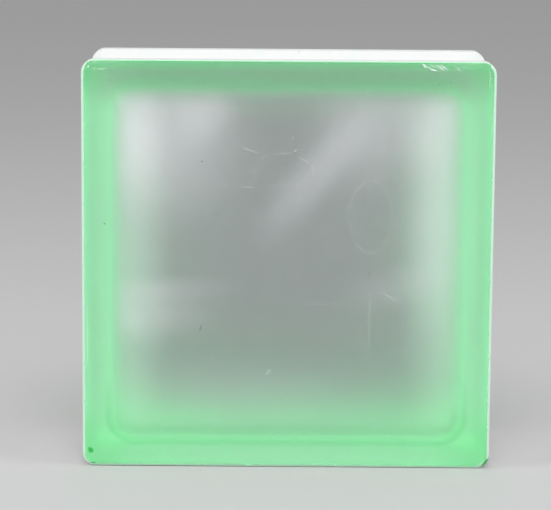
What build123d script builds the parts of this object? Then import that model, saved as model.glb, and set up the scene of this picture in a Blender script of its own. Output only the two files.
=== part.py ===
"""Hollow glass building block: two pressed halves, fused round a middle seam into one piece.

X is the width, Y the depth with the front face towards -Y, and Z is up. The origin is the middle of
the underside, where the block stands on the lower edges of its two rims.
"""
import os
from math import atan2, degrees, radians, tan

from build123d import *

# Overall size
face_side = 190.0
block_depth = 80.0

# Rims, the full-size edges of the two halves
rim_width = 12.0
rim_edge_radius = 1.2
face_edge_radius = 2.2

# Mortar groove between the rims, with its sloped shoulders
groove_depth = 5.0
groove_corner_radius = 1.0
shoulder_run = 5.0
shoulder_foot_radius = 2.5

# Bead of glass round the outside of the fused seam
seam_bead_width = 9.0
seam_bead_height = 1.2
seam_bead_root = 1.0

# Sealed cavity, drafted so that each half leaves its plunger
plate_thickness = 8.0
seam_wall = 5.0
cavity_fillet = 7.0
plate_corner_radius = 5.0
cavity_draft_angle = 2.5

# Sizes that follow from the ones above
half_depth = block_depth / 2
rim_corner_radius = groove_corner_radius + groove_depth
groove_side = face_side - 2 * groove_depth
shoulder_angle = degrees(atan2(groove_depth, shoulder_run))
cavity_half_depth = half_depth - plate_thickness
cavity_draft = cavity_half_depth * tan(radians(cavity_draft_angle))
cavity_plate_side = groove_side - 2 * (seam_wall + cavity_draft)
cavity_plate_corner_radius = plate_corner_radius + cavity_fillet

# Planes across the depth, from the front face to the seam
front_face = Plane(origin=(0, -half_depth, face_side / 2), x_dir=(1, 0, 0), z_dir=(0, 1, 0))
shoulder_top = front_face.offset(rim_width)
shoulder_foot = shoulder_top.offset(shoulder_run)
plate_back = front_face.offset(plate_thickness)
seam = front_face.offset(half_depth)

# Space inside: each half widens from its plate to the seam, with a rounded edge along the plate
with BuildPart() as cavity:
    with BuildSketch(plate_back):
        RectangleRounded(cavity_plate_side, cavity_plate_side, cavity_plate_corner_radius)
    extrude(amount=cavity_half_depth, taper=-cavity_draft_angle)
    fillet(cavity.faces().sort_by(Axis.Y)[0].edges(), radius=cavity_fillet)
    mirror(about=seam)

# Block of glass
with BuildPart() as glass_block:
    # Front half: the rim, the shoulder that slopes in behind it and the wall that reaches the seam
    with BuildSketch(front_face):
        RectangleRounded(face_side, face_side, rim_corner_radius)
    extrude(amount=rim_width)
    with BuildSketch(shoulder_top):
        RectangleRounded(face_side, face_side, rim_corner_radius)
    extrude(amount=shoulder_run, taper=shoulder_angle)
    with BuildSketch(shoulder_foot):
        RectangleRounded(groove_side, groove_side, groove_corner_radius)
    extrude(amount=half_depth - rim_width - shoulder_run)

    # Soft pressed edges: foot of the shoulder, back of the rim, then the face
    outlines = glass_block.edges().filter_by(Plane.XZ).group_by(Axis.Y)
    fillet(outlines[2], radius=shoulder_foot_radius)
    outlines = glass_block.edges().filter_by(Plane.XZ).group_by(Axis.Y)
    fillet(outlines[1], radius=rim_edge_radius)
    fillet(glass_block.faces().sort_by(Axis.Y)[0].edges(), radius=face_edge_radius)

    # Rear half, pressed to the same shape and fused to the front one
    mirror(about=seam)

    # Bead round the seam: a low arch, run along the outline of the groove's floor
    with BuildSketch(seam, mode=Mode.PRIVATE) as groove_outline:
        RectangleRounded(groove_side, groove_side, groove_corner_radius)
    seam_line = groove_outline.sketch.face().outer_wire()
    bead_start = Plane(origin=seam_line @ 0, x_dir=(0, 1, 0), z_dir=seam_line % 0)
    outward = 1 if bead_start.y_dir.dot((seam_line @ 0) - seam.origin) > 0 else -1
    with BuildSketch(bead_start) as bead_section:
        with BuildLine():
            foot_a = (-seam_bead_width / 2, 0)
            foot_b = (seam_bead_width / 2, 0)
            ThreePointArc(foot_a, (0, outward * seam_bead_height), foot_b)
            Polyline(
                foot_b,
                (seam_bead_width / 2, -outward * seam_bead_root),
                (-seam_bead_width / 2, -outward * seam_bead_root),
                foot_a,
            )
        make_face()
    sweep(sections=bead_section.sketch, path=seam_line)

    # The sealed space inside
    add(cavity.part, mode=Mode.SUBTRACT)

glass_block.part.label = "glass_block"

os.makedirs("parts", exist_ok=True)
export_step(glass_block.part, "parts/glass_block.step")
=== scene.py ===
"""Satin glass block with coated sides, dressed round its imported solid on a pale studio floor."""
from math import cos, pi, radians, sin, tan

import bmesh
import bpy
from mathutils import Matrix, Vector


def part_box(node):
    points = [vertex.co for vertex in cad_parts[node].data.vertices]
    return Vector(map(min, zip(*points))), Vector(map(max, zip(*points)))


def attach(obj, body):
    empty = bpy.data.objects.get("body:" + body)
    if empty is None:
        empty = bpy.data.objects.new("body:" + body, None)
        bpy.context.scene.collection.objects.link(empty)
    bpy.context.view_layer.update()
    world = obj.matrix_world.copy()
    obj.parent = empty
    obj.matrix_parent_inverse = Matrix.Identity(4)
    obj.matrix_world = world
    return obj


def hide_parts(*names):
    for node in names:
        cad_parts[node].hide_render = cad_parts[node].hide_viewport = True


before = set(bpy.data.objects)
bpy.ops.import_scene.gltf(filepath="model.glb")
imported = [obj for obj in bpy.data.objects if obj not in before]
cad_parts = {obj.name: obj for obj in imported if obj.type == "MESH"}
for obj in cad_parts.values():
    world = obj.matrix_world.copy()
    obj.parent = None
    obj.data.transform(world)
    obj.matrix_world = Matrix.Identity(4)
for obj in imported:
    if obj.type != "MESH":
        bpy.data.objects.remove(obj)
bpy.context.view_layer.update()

MM = 0.001

# Block, in metres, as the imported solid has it
BLOCK_LOW, BLOCK_HIGH = (Vector(corner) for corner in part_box("glass_block"))
CENTRE = (BLOCK_LOW + BLOCK_HIGH) / 2
HALF_FACE = (BLOCK_HIGH.x - BLOCK_LOW.x) / 2
HALF_DEPTH = (BLOCK_HIGH.y - BLOCK_LOW.y) / 2

# Rims and mortar groove
RIM_WIDTH = 12 * MM
RIM_EDGE_RADIUS = 1.2 * MM
FACE_EDGE_RADIUS = 2.2 * MM
GROOVE_DEPTH = 5 * MM
GROOVE_CORNER_RADIUS = 1 * MM
SHOULDER_RUN = 5 * MM
SHOULDER_FOOT_RADIUS = 2.5 * MM
RIM_CORNER_RADIUS = GROOVE_CORNER_RADIUS + GROOVE_DEPTH

# Bead of the fused seam. Its arch is one rounded corner, lifted and eased so that the flat steps of
# the rounding reach the bead's height.
BEAD_HALF_WIDTH = 4.5 * MM
BEAD_HEIGHT = 1.2 * MM
BEAD_CORNER_LIFT = 1.07
BEAD_RADIUS_EASE = 0.95

# Sealed cavity
PLATE = 8 * MM
SEAM_WALL = 5 * MM
CAVITY_FILLET = 7 * MM
CAVITY_FLAT_RADIUS = 5 * MM
CAVITY_FLAT_START = 0.8 * CAVITY_FLAT_RADIUS
CAVITY_DRAFT = radians(2.5)
CAVITY_PLATE_RADIUS = CAVITY_FLAT_RADIUS + CAVITY_FILLET
CAVITY_SEAM_RADIUS = CAVITY_PLATE_RADIUS + (HALF_DEPTH - PLATE) * tan(CAVITY_DRAFT)

# Coat on the sides: its green inner layer lies on the glass, its white outer layer just over that
COAT_THICKNESS = 0.15 * MM
WHITE_EDGE_FROM_FACE = 0.13 * MM
GREEN_EDGE_FROM_FACE = 1.2 * MM

# Marks on the front face, in mm and degrees: across from its middle, up from its foot, half length,
# half width, lean, then strength. The painted reflections are soft pale patches and streaks of painted
# lamp light, the bottom highlight is a painted highlight, the green glow is painted light from the
# coat, and the rest comes from handling, with painted glints among it.
# Painted reflections: soft pale patches and streaks of lamp light, painted on the face
PAINTED_REFLECTIONS = (
    (-60, 160, 54, 60, 0, 0.36),
    (-69, 153, 42, 16, 90, 0.15),
    (-37, 167, 24, 17, 60, 0.16),
    (12, 137, 48, 15, 50, 0.22),
    (40, 162, 44, 38, 60, 0.25),
    (68, 125, 70, 22, 90, 0.15),
    (67, 160, 36, 22, 92, 0.20),
    (75, 168, 20, 14, 90, 0.09),
    (70, 101, 120, 20, 90, 0.12),
    (-71, 101, 120, 22, 90, 0.14),
    (-64, 72, 40, 16, 3, 0.17),
    (-58, 84, 44, 9, 2, 0.12),
    (50, 86, 34, 14, 15, 0.09),
    (-20, 36, 90, 22, 0, 0.08),
)
# Painted highlight along the bottom edge of the face
BOTTOM_HIGHLIGHT = (
    (0, 5.5, 150, 8, 0, 0.09),
)
# Painted green glow of the coat's light, beside the side bands and below the top
PAINTED_GREEN_GLOW = (
    (-71, 100, 115, 24, 90, 0.12),
    (70, 108, 115, 27, 90, 0.25),
    (0, 172, 90, 12, 0, 0.05),
)
# Scratch marks, with painted glints among them: the speck at the top left corner, the dashes at the
# top right corner, the long line near the left edge and the pale line along the chipped bottom right
# corner
SCRATCHES_AND_GLINTS = (
    (61.8, 188.2, 1.90, 0.55, -40, 0.90),
    (65.9, 186.4, 2.70, 0.42, -13, 1.00),
    (69.4, 187.3, 3.00, 0.32, -38, 1.00),
    (70.7, 187.7, 2.70, 0.30, -37, 0.95),
    (68.0, 187.6, 3.00, 0.28, -40, 0.70),
    (65.4, 188.2, 2.20, 0.34, -40, 0.50),
    (63.8, 187.5, 1.60, 0.32, -36, 0.60),
    (77.4, 186.7, 1.70, 0.32, -48, 0.65),
    (75.6, 187.9, 1.30, 0.30, -40, 0.45),
    (79.1, 187.8, 1.20, 0.30, -52, 0.40),
    (-91.5, 186.8, 0.60, 0.50, 60, 1.00),
    (-88.8, 186.1, 1.80, 0.36, 2, 0.45),
    (-85.2, 185.8, 2.40, 0.38, 4, 0.48),
    (-88.6, 188.9, 1.20, 0.40, -40, 0.50),
    (-61.9, 185.7, 1.20, 0.50, 0, 0.25),
    (51.4, 183.9, 0.90, 0.50, 30, 0.25),
    (91.7, 182.6, 2.20, 0.36, 88, 0.60),
    (91.7, 179.4, 0.80, 0.45, 90, 0.85),
    (91.7, 185.0, 0.50, 0.42, 0, 0.80),
    (-92.4, 63.0, 24.00, 0.35, 90, 0.45),
    (-17.3, 149.0, 5.40, 0.50, -18, 0.27),
    (-11.8, 145.8, 4.40, 0.45, 16, 0.22),
    (-2.0, 147.6, 6.00, 0.45, 2, 0.22),
    (7.4, 144.6, 4.50, 0.55, -29, 0.24),
    (11.2, 140.6, 2.60, 0.42, -82, 0.44),
    (-3.2, 133.0, 12.50, 0.45, 1, 0.18),
    (-15.3, 139.0, 5.20, 0.45, 85, 0.18),
    (-28.2, 132.6, 2.50, 0.50, -32, 0.34),
    (-18.2, 132.0, 5.80, 0.45, -4, 0.21),
    (-38.4, 126.8, 2.20, 0.45, -45, 0.36),
    (-41.2, 118.6, 1.60, 0.42, -40, 0.28),
    (37.3, 146.6, 1.50, 0.50, 75, 0.36),
    (45.4, 148.2, 1.50, 0.45, -75, 0.32),
    (2.1, 154.9, 0.55, 0.50, 0, 0.75),
    (3.3, 149.0, 0.55, 0.50, 0, 0.75),
    (23.3, 123.3, 0.60, 0.45, 0, 0.80),
    (27.0, 121.2, 0.50, 0.45, 0, 0.85),
    (40.8, 135.2, 0.45, 0.45, 0, 0.60),
    (4.2, 90.6, 0.55, 0.50, 0, 0.60),
    (1.8, 88.7, 0.50, 0.45, 0, 0.50),
    (3.2, 83.8, 1.00, 0.45, 60, 0.36),
    (38.0, 66.0, 24.00, 0.45, 89, 0.10),
    (-9.0, 44.8, 2.00, 0.45, 50, 0.52),
    (-7.8, 46.2, 1.80, 0.45, -20, 0.49),
    (15.4, 77.7, 13.00, 0.42, 1, 0.15),
    (47.0, 81.8, 4.40, 0.42, -25, 0.30),
    (50.0, 79.5, 2.80, 0.42, 30, 0.27),
    (90.5, 1.9, 3.40, 0.40, 55, 0.85),
)
STAINS = (
    (-39.6, 143.7, 0.60, 0.55, 0, 0.45),
    (-84.3, 114.6, 0.70, 0.60, 0, 0.50),
    (-40.0, 66.0, 2.60, 0.60, 75, 0.28),
    (38.0, 92.0, 1.20, 0.40, 60, 0.28),
    (73.7, 180.8, 0.50, 0.45, 0, 0.40),
    (68.8, 179.8, 0.50, 0.45, 0, 0.35),
    (-81.4, 180.8, 0.50, 0.45, 0, 0.35),
)
# Dark green paint spots of the coat at the bottom corners; the last, at the chipped bottom right
# corner, is partly painted shade
COAT_DROPS_AND_CHIP_SHADE = (
    (-91.2, 7.8, 1.90, 1.40, 110, 0.95),
    (-90.2, 1.2, 2.60, 0.70, 0, 0.95),
    (92.9, 2.6, 3.00, 1.00, 60, 0.90),
)
# Chipped bottom right corner of the white coat, dark green partly as painted shade where the glass is
# missing
COAT_CHIP_AND_SHADE = (
    (93.2, 2.2, 4.40, 1.20, 55, 0.95),
)

# Painted reflections and the painted green glow fade out before the edge of the clear middle of the
# face
PAINTED_LIGHT_WINDOW_HALF = 86 * MM
PAINTED_LIGHT_WINDOW_FADE = 14 * MM

# Worn loop on the front face: middle and half size in mm, thickness as a share of its size
WORN_LOOP_MIDDLE = (38.2, 118.5)
WORN_LOOP_REACH = (10.1, 16.8)
WORN_LOOP_THICKNESS = 0.07
WORN_LOOP_STRENGTH = 0.10

# Inner edge of the front plate, which shows along the bottom as a fine line of painted light with
# rounded ends, with a band of painted shade outside it
PLATE_LINE_HALF = 80 * MM
PLATE_LINE_CORNER = 9 * MM
PLATE_LINE_WIDTH = 1.4 * MM
PLATE_LINE_STRENGTH = 0.14
PLATE_SHADE_OUT = 2.9 * MM
PLATE_SHADE_WIDTH = 2.4 * MM
PLATE_SHADE_STRENGTH = 0.24
PLATE_LINE_FADE = (22 * MM, 48 * MM)

# Glass and satin
GLASS_IOR = 1.5
SATIN_ROUGHNESS = 0.66
SATIN_ROUGHNESS_SPREAD = 0.06
SATIN_GRAIN = 0.6 * MM
SATIN_GRAIN_DEPTH = 0.02 * MM
SATIN_CLOUD = 24 * MM
FRONT_CLEARNESS = 0.98
FRONT_DULL = (0.795, 0.775, 0.83)
FRONT_BRIGHT = (0.825, 0.805, 0.855)
REAR_CLEARNESS = 0.83
# Rear tones, from the foot up: darker at the foot as painted shade
REAR_DULL = ((0.50, 0.495, 0.52), (0.645, 0.635, 0.67))
REAR_BRIGHT = ((0.53, 0.525, 0.55), (0.675, 0.665, 0.70))
REAR_SHADE_RANGE = (20 * MM, 150 * MM)
CLEAR_TINT = (0.98, 0.99, 0.985)
CLEAR_ROUGHNESS = 0.03
PLUNGER_WAVE = 38 * MM
PLUNGER_WAVE_DEPTH = 2 * MM

# Marks, as paint, among them the colours of painted reflections, glints, glow and shade
MARK_ROUGHNESS = 0.7
MARK_SHINE = 0.1
PAINTED_REFLECTION_PALE = (0.95, 0.915, 0.985)
SCRATCH_AND_GLINT_WHITE = (0.93, 0.925, 0.955)
PAINTED_GLOW_GREEN = (0.55, 0.98, 0.65)
PAINTED_SHADE_GREEN = (0.13, 0.50, 0.22)
STAIN_BROWN = (0.16, 0.15, 0.12)
DROP_AND_SHADE_GREEN = (0.05, 0.50, 0.09)
DROP_WOBBLE = 2 * MM

# Green layer of the coat: how much painted light it gives off along the bottom, the sides and the top,
# what is added deeper in, the painted shade in the bottom corners, and where each begins and ends
BOTTOM_GLOW = 0.28
SIDE_GLOW = 0.43
TOP_GLOW = 0.08
DEEP_GLOW = 0.76
BOTTOM_DEEP_GLOW = 0.52
CORNER_SHADE = 0.14
TOP_EDGE_GLOW = 0.2
LOW_RANGE = (9 * MM, 30 * MM)
HIGH_RANGE = (165 * MM, 181 * MM)
DEEP_RANGE = (-HALF_DEPTH + RIM_WIDTH + SHOULDER_RUN, 12 * MM)
NEAR_RANGE = (-HALF_DEPTH + 2 * MM, -HALF_DEPTH + 9 * MM)
CORNER_RANGE = (66 * MM, 86 * MM)
COAT_GREEN = ((0.36, 0.96, 0.50), (0.41, 0.98, 0.55))
COAT_THROUGH = (0.385, 0.97, 0.525)
SEE_THROUGH = 0.4
BOTTOM_SEE_THROUGH_LOSS = 0.32
TOP_SEE_THROUGH_LOSS = 0.2

# White layer of the coat
COAT_WHITE = ((0.78, 0.80, 0.787), (0.815, 0.83, 0.82))
COAT_MINT = (0.60, 0.86, 0.69)
COAT_LOST_AND_SHADE = (0.06, 0.33, 0.12)
PEEL_DEPTH = 0.05 * MM
TOPSIDE_RANGE = (BLOCK_HIGH.z - 2.4 * MM, BLOCK_HIGH.z - 0.8 * MM)
TOPSIDE_SETBACK = 0.95 * MM
UNEVEN_SETBACK = 0.9 * MM
THIN_STRENGTH = 0.6
EDGE_MINT = 0.9
EDGE_MINT_RANGE = (0.4 * MM, 2.6 * MM)
EDGE_SOFTNESS = 0.25 * MM
RIM_RANGE = (HALF_FACE - 1.4 * MM, HALF_FACE - 0.4 * MM)
RIM_EDGE_RANGE = (0.6 * MM, 1.6 * MM)
CHIP_RANGE = (-HALF_DEPTH + 3 * MM, -HALF_DEPTH + 4 * MM)

# Studio, in metres and watts
FLOOR_HALF = 12
FLOOR_PALE = ((0.59, 0.59, 0.59), (0.61, 0.61, 0.61))
FLOOR_MOTTLE = 0.4
SKY_LOW = (0.45, 0.45, 0.45)
SKY_HIGH = (0.52, 0.52, 0.52)
SKY_RANGE = (0.0, 0.9)
LAMP_SIZE = 1.0
LAMPS = (
    ("key_box", (0, -1.2, 1.4), 12),
    ("left_box", (-1.55, -0.5, 0.8), 11),
    ("right_box", (1.55, -0.5, 0.8), 11),
)

# Camera, fitted to the outline of the face and of the rear rim
IMAGE_WIDTH = 551
FOCAL_PIXELS = 2407.1
SENSOR_WIDTH = 36
CAMERA_PLACE = Vector((-4.37, -1136.4, 273.7)) * MM
CAMERA_PITCH = radians(8.974)
CAMERA_YAW = radians(-0.060)
CAMERA_ROLL = radians(0.418)

# Mesh fineness
ARC_STEPS = 5
CORNER_STEPS = 10
CHAIN_MERGE = 0.001 * MM
ROUND_MERGE = 0.01 * MM


class Value:
    """One shader value or colour. Arithmetic on it adds Math nodes to its finish."""

    def __init__(self, finish, socket):
        self.finish = finish
        self.socket = socket

    def math(self, operation, other=0):
        return self.finish.node("ShaderNodeMath", {"operation": operation}, {0: self, 1: other})

    def __add__(self, other):
        return self.math("ADD", other)

    def __sub__(self, other):
        return self.math("SUBTRACT", other)

    def __rsub__(self, other):
        return -1 * self + other

    def __mul__(self, other):
        return self.math("MULTIPLY", other)

    def __truediv__(self, other):
        return self.math("DIVIDE", other)

    __radd__ = __add__
    __rmul__ = __mul__


class Finish:
    """A material, or the world, and the nodes that make its look."""

    def __init__(self, name, owner=None):
        self.owner = owner or bpy.data.materials.new(name)
        self.owner.use_nodes = True
        self.tree = self.owner.node_tree
        self.tree.nodes.clear()

    def node(self, kind, settings=None, sockets=None, outlet=0):
        """Adds a node, sets it, fills its sockets with values or links and gives an outlet."""
        made = self.tree.nodes.new(kind)
        for name, setting in (settings or {}).items():
            setattr(made, name, setting)
        for name, given in (sockets or {}).items():
            socket = made.inputs[name]
            if isinstance(given, Value):
                self.tree.links.new(given.socket, socket)
            elif socket.type == "RGBA":
                socket.default_value = (*given, 1)
            else:
                socket.default_value = given
        return Value(self, made.outputs[outlet]) if made.outputs else None

    def place(self):
        return self.node("ShaderNodeTexCoord", outlet="Object")

    def part(self, vector, axis):
        return self.node("ShaderNodeSeparateXYZ", sockets={0: vector}, outlet=axis)

    def noise(self, size, detail):
        """Soft noise from 0 to 1, whose lumps are about size metres across."""
        return self.node("ShaderNodeTexNoise", sockets={
            "Vector": self.place(), "Scale": 1 / size, "Detail": detail})

    def ramp(self, value, start, end):
        """0 below start and 1 above end, smooth between."""
        return self.node("ShaderNodeMapRange", {"interpolation_type": "SMOOTHSTEP"}, {
            "Value": value, "From Min": start, "From Max": end})

    def mix(self, factor, first, second):
        """Colour from first to second."""
        return self.node("ShaderNodeMix", {"data_type": "RGBA"}, {
            "Factor": factor, "A": first, "B": second}, outlet="Result")

    def vector(self, operation, first, second=(0, 0, 0)):
        return self.node("ShaderNodeVectorMath", {"operation": operation}, {0: first, 1: second})

    def flat(self, place):
        """A place on the front face, with its depth left out."""
        return self.vector("MULTIPLY", place, (1, 0, 1))

    def length(self, vector):
        return self.node("ShaderNodeVectorMath", {"operation": "LENGTH"}, {0: vector}, outlet="Value")

    def scaled(self, colour, amount):
        return self.node("ShaderNodeVectorMath", {"operation": "SCALE"}, {0: colour, "Scale": amount})

    def over(self, colour, limit):
        """1 where the first channel of a random colour is over the limit, else 0."""
        first = self.node("ShaderNodeSeparateColor", sockets={0: colour})
        return first.math("GREATER_THAN", limit)

    def bump(self, height, depth):
        return self.node("ShaderNodeBump", sockets={"Height": height, "Distance": depth})

    def surface(self, **sockets):
        """A surface shader, with its sockets by name."""
        return self.node("ShaderNodeBsdfPrincipled", sockets={
            name.replace("_", " "): given for name, given in sockets.items()})

    def paint(self, colour):
        return self.surface(
            Base_Color=colour, Roughness=MARK_ROUGHNESS, Specular_IOR_Level=MARK_SHINE)

    def blend(self, amount, first, second):
        """Shader from first to second."""
        return self.node("ShaderNodeMixShader", sockets={0: amount, 1: first, 2: second})

    def close(self, shader):
        self.node("ShaderNodeOutputMaterial", sockets={"Surface": shader})
        return self.owner


def marks(finish, place, table, core=0.25):
    """Drawn-out marks on the front face, each full over its core and fading to its edge."""
    total = 0
    for across, up, half_length, half_width, lean, strength in table:
        spot = finish.node("ShaderNodeMapping", {"vector_type": "TEXTURE"}, {
            "Vector": place,
            "Location": (across * MM, 0, up * MM),
            "Rotation": (0, radians(-lean), 0),
            "Scale": (half_length * MM, 1, half_width * MM)})
        total = strength * (1 - finish.ramp(finish.length(spot), core, 1)) + total
    return total


def ring(finish, place, middle, reach, thickness):
    """A thin worn loop round a spot on the front face, broken up, from 0 to 1."""
    spot = finish.node("ShaderNodeMapping", {"vector_type": "TEXTURE"}, {
        "Vector": place,
        "Location": (middle[0] * MM, 0, middle[1] * MM),
        "Scale": (reach[0] * MM, 1, reach[1] * MM)})
    away = (finish.length(spot) - 1).math("ABSOLUTE")
    loop = 1 - finish.ramp(away, 0, thickness)
    return loop * finish.ramp(finish.noise(6 * MM, detail=3), 0.22, 0.50)


def specks(finish, place, spacing, size, share):
    """Small round specks about spacing apart, of which only a share show."""
    cells = {"Vector": place, "Scale": 1 / spacing, "Randomness": 1.0}
    away = finish.node("ShaderNodeTexVoronoi", sockets=cells, outlet="Distance")
    pick = finish.node("ShaderNodeTexVoronoi", sockets=cells, outlet="Color")
    spot = 1 - finish.ramp(away, 0.5 * size / spacing, size / spacing)
    return spot * finish.over(pick, 1 - share)


def satin(finish, dull, bright, clearness):
    """Etched face of the glass: fine grain and soft cloudy differences in how dull it is."""
    grain = finish.noise(SATIN_GRAIN, detail=3)
    cloud = finish.noise(SATIN_CLOUD, detail=3)
    return finish.surface(
        Base_Color=finish.mix(cloud, dull, bright),
        Roughness=SATIN_ROUGHNESS + SATIN_ROUGHNESS_SPREAD * (cloud - 0.5),
        IOR=GLASS_IOR,
        Transmission_Weight=clearness,
        Normal=finish.bump(grain, SATIN_GRAIN_DEPTH))


def layers(finish, stack):
    """Stacks (amount, colour) layers of paint into one amount and one colour."""
    tiny = 0.0001
    total = 0
    colour = None
    for amount, tint in stack:
        total = amount + total
        colour = finish.mix(amount / (total + tiny), colour, tint) if colour else tint
    return total.math("MINIMUM", 1), colour


def satin_front():
    """Front face, with the marks of handling and with painted light and shade: painted reflections, a
    painted highlight along the bottom, a painted green glow, and a painted line and band of shade
    along the plate's inner edge. Soft and fine marks are blended in one after the other, because a
    single blend can't hold so many."""
    finish = Finish("satin_front")
    place = finish.flat(finish.place())
    offset = finish.vector("ABSOLUTE", finish.vector("SUBTRACT", place, (0, 0, CENTRE.z)))
    edge = finish.part(offset, "X").math("MAXIMUM", finish.part(offset, "Z"))
    window = 1 - finish.ramp(edge, PAINTED_LIGHT_WINDOW_HALF - PAINTED_LIGHT_WINDOW_FADE, PAINTED_LIGHT_WINDOW_HALF)
    # Painted reflections of the lamps, faded out towards the edge
    pale_patches_and_reflections = marks(finish, place, PAINTED_REFLECTIONS, core=0) * window
    pale_patches_and_reflections = pale_patches_and_reflections * (0.9 + 0.2 * finish.noise(14 * MM, detail=4))
    ragged = finish.ramp(finish.noise(1.5 * MM, detail=3), 0.2, 0.5)
    # Scratch marks and painted glints
    scratches_and_glints = marks(finish, place, SCRATCHES_AND_GLINTS, core=0.4) * ragged
    worn = WORN_LOOP_STRENGTH * ring(
        finish, place, WORN_LOOP_MIDDLE, WORN_LOOP_REACH, WORN_LOOP_THICKNESS)
    dust = 0.5 * specks(finish, place, spacing=9 * MM, size=0.28 * MM, share=0.35)
    # Painted highlight along the bottom
    bottom_highlight = marks(finish, place, BOTTOM_HIGHLIGHT, core=0)
    stains = marks(finish, place, STAINS)
    stains = stains + 0.5 * specks(finish, place, spacing=23 * MM, size=0.45 * MM, share=0.3)

    straight = PLATE_LINE_HALF - PLATE_LINE_CORNER
    past = finish.vector("MAXIMUM", finish.vector("SUBTRACT", offset, (straight, 0, straight)))
    from_line = finish.length(past) - PLATE_LINE_CORNER
    low = 1 - finish.ramp(finish.part(place, "Z"), *PLATE_LINE_FADE)
    # Painted green glow, kept inside the window
    green = marks(finish, place, PAINTED_GREEN_GLOW, core=0) * window
    # Painted light along the plate's inner edge, added to the painted green glow
    on_line = 1 - finish.ramp(from_line.math("ABSOLUTE"), 0, PLATE_LINE_WIDTH)
    line = green + PLATE_LINE_STRENGTH * low * on_line
    # Painted shade in a band just outside that edge
    from_plate_shade = (from_line - PLATE_SHADE_OUT).math("ABSOLUTE")
    groove = PLATE_SHADE_STRENGTH * low * (1 - finish.ramp(from_plate_shade, 0, PLATE_SHADE_WIDTH))

    wobble = finish.node(
        "ShaderNodeTexNoise", sockets={"Vector": place, "Scale": 1 / DROP_WOBBLE}, outlet="Color")
    uneven = finish.vector("ADD", place, finish.scaled(wobble, DROP_WOBBLE))
    uneven = finish.vector("SUBTRACT", uneven, (DROP_WOBBLE / 2, 0, DROP_WOBBLE / 2))
    # Paint spots of the coat, and painted shade at the chipped corner
    drops_and_chip_shade = marks(finish, finish.flat(uneven), COAT_DROPS_AND_CHIP_SHADE, core=0.6)
    # Painted light and shade go in the first blend, marks of handling and painted glints in the second
    soft = layers(finish, ((pale_patches_and_reflections + bottom_highlight, PAINTED_REFLECTION_PALE), (line, PAINTED_GLOW_GREEN), (groove, PAINTED_SHADE_GREEN)))
    fine = layers(finish, (
        (scratches_and_glints + worn + dust, SCRATCH_AND_GLINT_WHITE), (stains, STAIN_BROWN), (drops_and_chip_shade, DROP_AND_SHADE_GREEN)))
    shader = satin(finish, FRONT_DULL, FRONT_BRIGHT, FRONT_CLEARNESS)
    for amount, colour in (soft, fine):
        shader = finish.blend(amount, shader, finish.paint(colour))
    return finish.close(shader)


def satin_rear():
    """Rear face, greyer towards its foot as painted shade for the shadowed floor seen through it."""
    finish = Finish("satin_rear")
    place = finish.flat(finish.place())
    pale_patches_and_reflections = 0.16 * finish.ramp(finish.noise(55 * MM, detail=2), 0.45, 0.75)
    dust = 0.5 * specks(finish, place, spacing=10 * MM, size=0.28 * MM, share=0.3)
    # Painted shade, darkest at the foot
    shade_rise = finish.ramp(finish.part(place, "Z"), *REAR_SHADE_RANGE)
    glass = satin(
        finish, finish.mix(shade_rise, *REAR_DULL), finish.mix(shade_rise, *REAR_BRIGHT), REAR_CLEARNESS)
    return finish.close(finish.blend(pale_patches_and_reflections + dust, glass, finish.paint(SCRATCH_AND_GLINT_WHITE)))


def clear_glass():
    """Inner face of the glass, fire-polished, with the soft waves that the plunger leaves."""
    finish = Finish("clear_glass")
    waves = finish.noise(PLUNGER_WAVE, detail=1)
    return finish.close(finish.surface(
        Base_Color=CLEAR_TINT,
        Roughness=CLEAR_ROUGHNESS,
        IOR=GLASS_IOR,
        Transmission_Weight=1.0,
        Normal=finish.bump(waves, PLUNGER_WAVE_DEPTH)))


def green_coat():
    """Green inner layer of the coat, seen only through the glass. It lets light through and glows with
    painted light, an emission standing in for the lamp light it gathers, least along the top and more
    the deeper it lies, with painted shade in its bottom corners."""
    finish = Finish("green_coat")
    place = finish.place()
    colour = finish.mix(finish.noise(9 * MM, detail=3), *COAT_GREEN)
    height = finish.part(place, "Z")
    depth = finish.part(place, "Y")
    low = 1 - finish.ramp(height, *LOW_RANGE)
    high = finish.ramp(height, *HIGH_RANGE)
    deep = finish.ramp(depth, *DEEP_RANGE) * (1 - high)
    near = 1 - finish.ramp(depth, *NEAR_RANGE)
    corner = low * finish.ramp(finish.part(place, "X").math("ABSOLUTE"), *CORNER_RANGE)
    # Painted light: emission by height and depth, less painted shade in the bottom corners
    glow = SIDE_GLOW + (BOTTOM_GLOW - SIDE_GLOW) * low + (TOP_GLOW - SIDE_GLOW) * high
    glow = glow + (DEEP_GLOW + (BOTTOM_DEEP_GLOW - DEEP_GLOW) * low) * deep
    glow = glow + TOP_EDGE_GLOW * high * near
    glow = (glow - CORNER_SHADE * corner).math("MAXIMUM", 0)
    back = finish.surface(
        Base_Color=colour,
        Roughness=0.7,
        Specular_IOR_Level=0.0,
        Emission_Color=finish.scaled(colour, glow),
        Emission_Strength=1.0)
    through = finish.node("ShaderNodeBsdfTranslucent", sockets={"Color": COAT_THROUGH})
    passed = SEE_THROUGH - BOTTOM_SEE_THROUGH_LOSS * low - TOP_SEE_THROUGH_LOSS * high
    return finish.close(finish.blend(passed, back, through))


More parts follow.
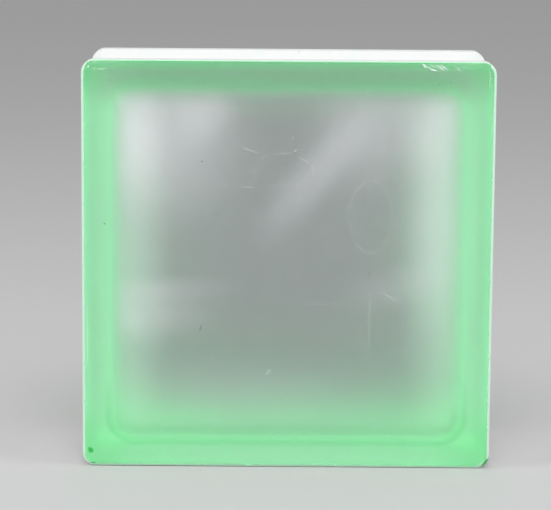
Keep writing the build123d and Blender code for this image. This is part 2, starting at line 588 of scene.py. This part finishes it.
def white_backing():
    """White outer layer of the coat: sprayed, thin and minty in places, nicked along the rims, with
    an uneven edge along the faces. From inside the glass it lets light through to the green layer."""
    finish = Finish("white_backing")
    place = finish.place()
    across = finish.part(place, "X")
    depth = finish.part(place, "Y")
    height = finish.part(place, "Z")
    from_face = HALF_DEPTH - depth.math("ABSOLUTE")
    peel = finish.noise(1.8 * MM, detail=2)
    cloud = finish.noise(16 * MM, detail=4)
    thin = finish.ramp(finish.noise(9 * MM, detail=5), 0.56, 0.78)
    topside = finish.ramp(height, *TOPSIDE_RANGE)
    uneven = finish.ramp(finish.noise(5 * MM, detail=4), 0.55, 0.85)
    from_edge = from_face - WHITE_EDGE_FROM_FACE - TOPSIDE_SETBACK * topside - UNEVEN_SETBACK * uneven
    thin_edge = EDGE_MINT - EDGE_MINT * finish.ramp(from_edge, *EDGE_MINT_RANGE)
    thin = (THIN_STRENGTH * thin).math("MAXIMUM", thin_edge)
    colour = finish.mix(thin, finish.mix(cloud, *COAT_WHITE), COAT_MINT)

    outermost = across.math("ABSOLUTE").math("MAXIMUM", (height - CENTRE.z).math("ABSOLUTE"))
    on_rim = finish.ramp(outermost, *RIM_RANGE)
    at_edge = 1 - finish.ramp((from_face - RIM_WIDTH).math("ABSOLUTE"), *RIM_EDGE_RANGE)
    nicks = on_rim * at_edge * finish.ramp(finish.noise(3.5 * MM, detail=3), 0.66, 0.72)
    pinholes = specks(finish, place, spacing=8 * MM, size=0.3 * MM, share=0.25)
    # Chipped corner, dark green partly as painted shade
    chip_and_shade = marks(finish, finish.flat(place), COAT_CHIP_AND_SHADE, core=0.6)
    chip_and_shade = chip_and_shade * (1 - finish.ramp(depth, *CHIP_RANGE))
    lost_and_shade = (0.8 * nicks + 0.6 * pinholes + chip_and_shade).math("MINIMUM", 1)
    white = finish.surface(
        Base_Color=finish.mix(lost_and_shade, colour, COAT_LOST_AND_SHADE),
        Roughness=0.72 + 0.12 * cloud,
        Specular_IOR_Level=0.05,
        Normal=finish.bump(peel, PEEL_DEPTH))

    bare = 1 - finish.ramp(from_edge, 0, EDGE_SOFTNESS)
    inward = finish.node("ShaderNodeBsdfTransparent")
    behind = finish.node("ShaderNodeNewGeometry", outlet="Backfacing")
    return finish.close(finish.blend(behind.math("MAXIMUM", bare), white, inward))


def floor_paint():
    finish = Finish("floor_paint")
    colour = finish.mix(finish.noise(FLOOR_MOTTLE, detail=3), *FLOOR_PALE)
    return finish.close(finish.surface(Base_Color=colour, Roughness=0.8))


def section_chain(mesh, corners, axis_offset):
    """A chain of edges through corners of (distance from the corner axis, depth, rounding radius)."""
    points = [Vector((-axis_offset, depth, CENTRE.z + axis_offset + out)) for out, depth, _ in corners]
    verts = [mesh.verts.new(point) for point in points]
    for first, second in zip(verts, verts[1:]):
        mesh.edges.new((first, second))
    for index, (_, _, radius) in enumerate(corners):
        if radius:
            before = points[index] - points[index - 1]
            after = points[index + 1] - points[index]
            bmesh.ops.bevel(
                mesh, geom=[verts[index]], offset=radius * tan(before.angle(after) / 2),
                offset_type="OFFSET", affect="VERTICES", segments=ARC_STEPS, profile=0.5, material=-1)
    bmesh.ops.remove_doubles(mesh, verts=mesh.verts, dist=CHAIN_MERGE)
    return mesh.edges[:]


def run_round(mesh, chain, axis_offset):
    """Runs a section chain once round the block: along each side, then about the corner after it."""
    turn = Matrix.Rotation(pi / 2, 3, "Y")
    along = Vector((1, 0, 0))
    corner = Vector((axis_offset, 0, axis_offset))
    for _ in range(4):
        made = bmesh.ops.extrude_edge_only(mesh, edges=chain)["geom"]
        verts = [item for item in made if isinstance(item, bmesh.types.BMVert)]
        chain = [item for item in made if isinstance(item, bmesh.types.BMEdge)
                 and all(vert in verts for vert in item.verts)]
        bmesh.ops.translate(mesh, verts=verts, vec=along * 2 * axis_offset)
        made = bmesh.ops.spin(
            mesh, geom=chain + verts, cent=corner + Vector((0, 0, CENTRE.z)), axis=(0, 1, 0),
            angle=pi / 2, steps=CORNER_STEPS)["geom_last"]
        chain = [item for item in made if isinstance(item, bmesh.types.BMEdge)]
        along = turn @ along
        corner = turn @ corner
    bmesh.ops.remove_doubles(mesh, verts=mesh.verts, dist=ROUND_MERGE)


def fill_ends(mesh):
    rims = [edge for edge in mesh.edges if edge.is_boundary]
    bmesh.ops.holes_fill(mesh, edges=rims)


def slice_across(mesh, reach, trim=False):
    """Cuts a skin across in front of and behind its middle, and may trim off what lies beyond."""
    for side in (-1, 1):
        bmesh.ops.bisect_plane(
            mesh, geom=mesh.verts[:] + mesh.edges[:] + mesh.faces[:], dist=CHAIN_MERGE,
            plane_co=(0, side * reach, 0), plane_no=(0, side, 0), clear_outer=trim)


def outer_section(inset):
    """Section of the outside, from the front face to the rear one, set in by a coat."""
    rim = RIM_CORNER_RADIUS - inset
    floor = GROOVE_CORNER_RADIUS - inset
    flat = rim - 2 * FACE_EDGE_RADIUS
    foot = HALF_DEPTH - RIM_WIDTH - SHOULDER_RUN
    front = [
        (flat, -HALF_DEPTH, 0),
        (rim, -HALF_DEPTH, FACE_EDGE_RADIUS),
        (rim, -HALF_DEPTH + RIM_WIDTH, RIM_EDGE_RADIUS),
        (floor, -foot, SHOULDER_FOOT_RADIUS),
        (floor, -BEAD_HALF_WIDTH, 0),
    ]
    rear = [(out, -depth, radius) for out, depth, radius in reversed(front)]
    peak = floor + 2 * BEAD_HEIGHT * BEAD_CORNER_LIFT
    arch_radius = (BEAD_HALF_WIDTH ** 2 + BEAD_HEIGHT ** 2) / (2 * BEAD_HEIGHT)
    return front + [(peak, 0, BEAD_RADIUS_EASE * arch_radius)] + rear


def cavity_section():
    plate = -HALF_DEPTH + PLATE
    front = [(CAVITY_FLAT_START, plate, 0), (CAVITY_PLATE_RADIUS, plate, CAVITY_FILLET)]
    rear = [(out, -depth, radius) for out, depth, radius in reversed(front)]
    return front + [(CAVITY_SEAM_RADIUS, 0, 0)] + rear


def skin(section, axis_offset):
    """A section run round the block, open at the front and the rear."""
    mesh = bmesh.new()
    run_round(mesh, section_chain(mesh, section, axis_offset), axis_offset)
    return mesh


def add_object(name, mesh, *materials):
    data = bpy.data.meshes.new(name)
    mesh.to_mesh(data)
    mesh.free()
    for material in materials:
        data.materials.append(material)
    made = bpy.data.objects.new(name, data)
    bpy.context.scene.collection.objects.link(made)
    return made


def piece(name, mesh, *materials):
    for face in mesh.faces:
        face.smooth = True
    made = add_object(name, mesh, *materials)
    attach(made, "root")
    return made


def glass_shell():
    """The glass: outside and cavity, with satin, clear and coated stretches as material slots."""
    FRONT, REAR, CLEAR, COATED = range(4)
    mesh = skin(outer_section(COAT_THICKNESS), HALF_FACE - RIM_CORNER_RADIUS)
    fill_ends(mesh)
    bmesh.ops.recalc_face_normals(mesh, faces=mesh.faces)
    coat_reach = HALF_DEPTH - GREEN_EDGE_FROM_FACE
    slice_across(mesh, coat_reach)
    for face in mesh.faces:
        depth = face.calc_center_median().y
        face.material_index = COATED if abs(depth) < coat_reach else FRONT if depth < 0 else REAR

    hollow = skin(cavity_section(), HALF_FACE - GROOVE_DEPTH - SEAM_WALL - CAVITY_SEAM_RADIUS)
    fill_ends(hollow)
    bmesh.ops.recalc_face_normals(hollow, faces=hollow.faces)
    bmesh.ops.reverse_faces(hollow, faces=hollow.faces)
    for face in hollow.faces:
        face.material_index = CLEAR
    inside = bpy.data.meshes.new("cavity")
    hollow.to_mesh(inside)
    hollow.free()
    mesh.from_mesh(inside)
    bpy.data.meshes.remove(inside)
    made = piece("glass_shell", mesh, satin_front(), satin_rear(), clear_glass(), green_coat())
    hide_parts("glass_block")


def side_coat():
    """White backing of the coat: a thin skin over the rims, shoulders and groove."""
    mesh = skin(outer_section(0), HALF_FACE - RIM_CORNER_RADIUS)
    slice_across(mesh, HALF_DEPTH - WHITE_EDGE_FROM_FACE, trim=True)
    bmesh.ops.recalc_face_normals(mesh, faces=mesh.faces)
    first = mesh.faces[:][0]
    if first.normal.dot(first.calc_center_median() - CENTRE) < 0:
        bmesh.ops.reverse_faces(mesh, faces=mesh.faces)
    made = piece("side_coat", mesh, white_backing())


def studio():
    """Pale floor and soft light."""
    mesh = bmesh.new()
    bmesh.ops.create_grid(mesh, x_segments=1, y_segments=1, size=FLOOR_HALF)
    floor = add_object("floor", mesh, floor_paint())

    world = bpy.data.worlds.new("studio")
    bpy.context.scene.world = world
    sky = Finish("studio", world)
    way = sky.node("ShaderNodeTexCoord", outlet="Generated")
    tone = sky.mix(sky.ramp(sky.part(way, "Z"), *SKY_RANGE), SKY_LOW, SKY_HIGH)
    shade = sky.node("ShaderNodeBackground", sockets={"Color": tone, "Strength": 1.0})
    sky.node("ShaderNodeOutputWorld", sockets={"Surface": shade})

    for name, place, power in LAMPS:
        light = bpy.data.lights.new(name, "AREA")
        light.shape = "SQUARE"
        light.size = LAMP_SIZE
        light.energy = power
        lamp = bpy.data.objects.new(name, light)
        lamp.location = place
        lamp.rotation_euler = (CENTRE - Vector(place)).to_track_quat("-Z", "Y").to_euler()
        bpy.context.scene.collection.objects.link(lamp)


def camera():
    """Camera at the photograph's angle."""
    pitch, yaw, roll = CAMERA_PITCH, CAMERA_YAW, CAMERA_ROLL
    forward = Vector((sin(yaw) * cos(pitch), cos(yaw) * cos(pitch), -sin(pitch)))
    level = Vector((cos(yaw), -sin(yaw), 0))
    upright = level.cross(forward)
    right = level * cos(roll) + upright * sin(roll)
    up = upright * cos(roll) - level * sin(roll)
    lens = bpy.data.cameras.new("camera")
    lens.sensor_width = SENSOR_WIDTH
    lens.lens = SENSOR_WIDTH * FOCAL_PIXELS / IMAGE_WIDTH
    lens.clip_end = 100
    eye = bpy.data.objects.new("camera", lens)
    eye.matrix_world = Matrix((right, up, -forward)).transposed().to_4x4()
    eye.location = CAMERA_PLACE
    bpy.context.scene.collection.objects.link(eye)
    bpy.context.scene.camera = eye


glass_shell()
side_coat()
studio()
camera()
scene = bpy.context.scene
scene.view_settings.view_transform = "Standard"
scene.cycles.max_bounces = 32
scene.cycles.diffuse_bounces = 16
scene.cycles.glossy_bounces = 16
scene.cycles.transmission_bounces = 32
